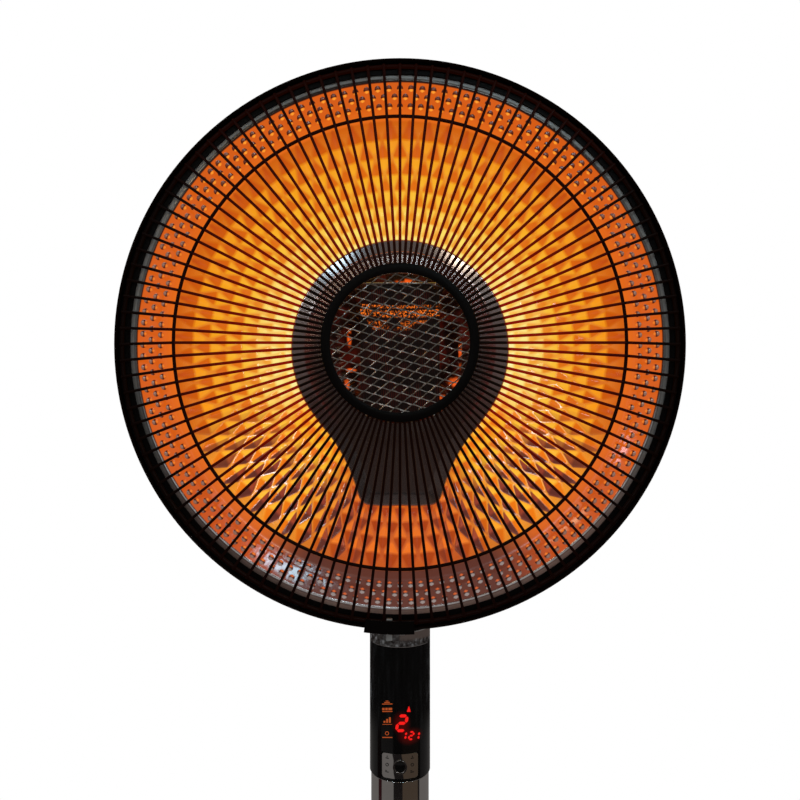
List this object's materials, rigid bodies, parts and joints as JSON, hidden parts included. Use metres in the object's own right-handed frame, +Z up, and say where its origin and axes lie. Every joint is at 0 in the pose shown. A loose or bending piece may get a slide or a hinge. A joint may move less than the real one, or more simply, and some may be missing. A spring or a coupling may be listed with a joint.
{
  "type": "dish radiant heater",
  "caption": "Fan-shaped radiant heater: embossed round reflector behind a wire guard, tilting on a column with a digital panel that swivels on a weighted round base.",
  "frame": {"origin": "on the floor, on the column's axis", "axes": "+Z up, the dish faces -Y, +X to its right"},
  "size_m": [0.4, 0.29, 0.83],
  "materials": {
    "black_enamel": "satin black enamel on steel",
    "reflector_aluminium": "embossed bright aluminium, lit orange",
    "shield_steel": "polished steel, heat tinted",
    "mesh_steel": "expanded steel mesh",
    "gauze_steel": "dark oxidised gauze",
    "bright_steel": "zinc-plated steel",
    "white_ceramic": "unglazed ceramic",
    "quartz": "clear quartz",
    "glowing_carbon": "glowing carbon filament",
    "black_gloss_plastic": "gloss black",
    "black_matte_plastic": "fine matte black",
    "chrome": "dark chrome",
    "rubber": "matte rubber",
    "nylon": "natural nylon",
    "cast_iron": "painted casting",
    "circuit_board": "green solder mask",
    "cable_sheath": "heat-proof sheath"
  },
  "bodies": {
    "base": {"base_cover": "black_gloss_plastic", "base_plate": "bright_steel", "base_screws": "bright_steel", "rubber_feet": "rubber", "swivel_bush": "nylon", "bush_housing": "bright_steel", "ballast_weight": "cast_iron", "power_board": "circuit_board", "cord_gland": "rubber", "tip_switch_case": "black_matte_plastic", "swing_motor": "bright_steel"},
    "column": {"neck_fork": "black_enamel", "tilt_bolt": "bright_steel", "tilt_nut": "bright_steel", "friction_washers": "nylon", "top_collar": "chrome", "display_sleeve": "black_gloss_plastic", "display_board": "circuit_board", "led_display": "black_matte_plastic", "button_plate": "chrome", "button_switch": "black_matte_plastic", "sleeve_foot_ring": "black_matte_plastic", "pole_tube": "chrome", "core_tube": "bright_steel", "pole_foot": "black_matte_plastic", "column_harness": "cable_sheath", "swivel_gear": "nylon"},
    "head": {"rim_hoop": "black_enamel", "rim_joint_block": "black_matte_plastic", "rim_clip": "bright_steel", "rim_clip_screw": "bright_steel", "reflector_dish": "reflector_aluminium", "guard_basket": "black_enamel", "guard_hub_ring": "black_enamel", "guard_mesh": "mesh_steel", "front_shield": "shield_steel", "shield_posts": "bright_steel", "element_frame": "bright_steel", "element_screen": "gauze_steel", "quartz_tubes": "quartz", "carbon_filaments": "glowing_carbon", "upper_lamp_holder": "white_ceramic", "lower_lamp_holder": "white_ceramic", "lead_terminal": "white_ceramic", "lamp_leads": "cable_sheath", "element_stem": "bright_steel", "back_plate": "bright_steel", "thermal_cutout": "bright_steel", "terminal_block": "white_ceramic", "cover_posts": "bright_steel", "rear_cover": "black_gloss_plastic", "rear_cover_screws": "bright_steel", "head_arm": "black_enamel", "arm_screws": "bright_steel", "tilt_bush": "nylon"},
    "button": {"push_button": "black_gloss_plastic"},
    "pinion": {"swing_pinion": "nylon"},
    "plunger": {"tip_plunger": "nylon"}
  },
  "joints": [
    {"name": "swivel", "type": "hinge", "parent": "base", "child": "column", "pos_m": [0, 0, 0], "axis": [0, 0, 1], "range_deg": [-35, 35]},
    {"name": "head_tilt", "type": "hinge", "parent": "column", "child": "head", "pos_m": [0, 0, 0.448], "axis": [-1, 0, 0], "range_deg": [-10, 20]},
    {"name": "button_press", "type": "slide", "parent": "column", "child": "button", "axis": [0, 1, 0], "range_m": [0, 0.0015], "stiffness_N_per_m": 400, "springref_m": -0.0005},
    {"name": "pinion_spin", "type": "hinge", "parent": "base", "child": "pinion", "pos_m": [0, 0.0525, 0], "axis": [0, 0, 1], "range_deg": [-140, 140]},
    {"name": "plunger_drop", "type": "slide", "parent": "base", "child": "plunger", "axis": [0, 0, -1], "range_m": [0, 0.004], "stiffness_N_per_m": 60, "springref_m": 0.01}
  ],
  "couplings": [
    {"joint": "pinion_spin", "follows": "swivel", "ratio": -4}
  ]
}
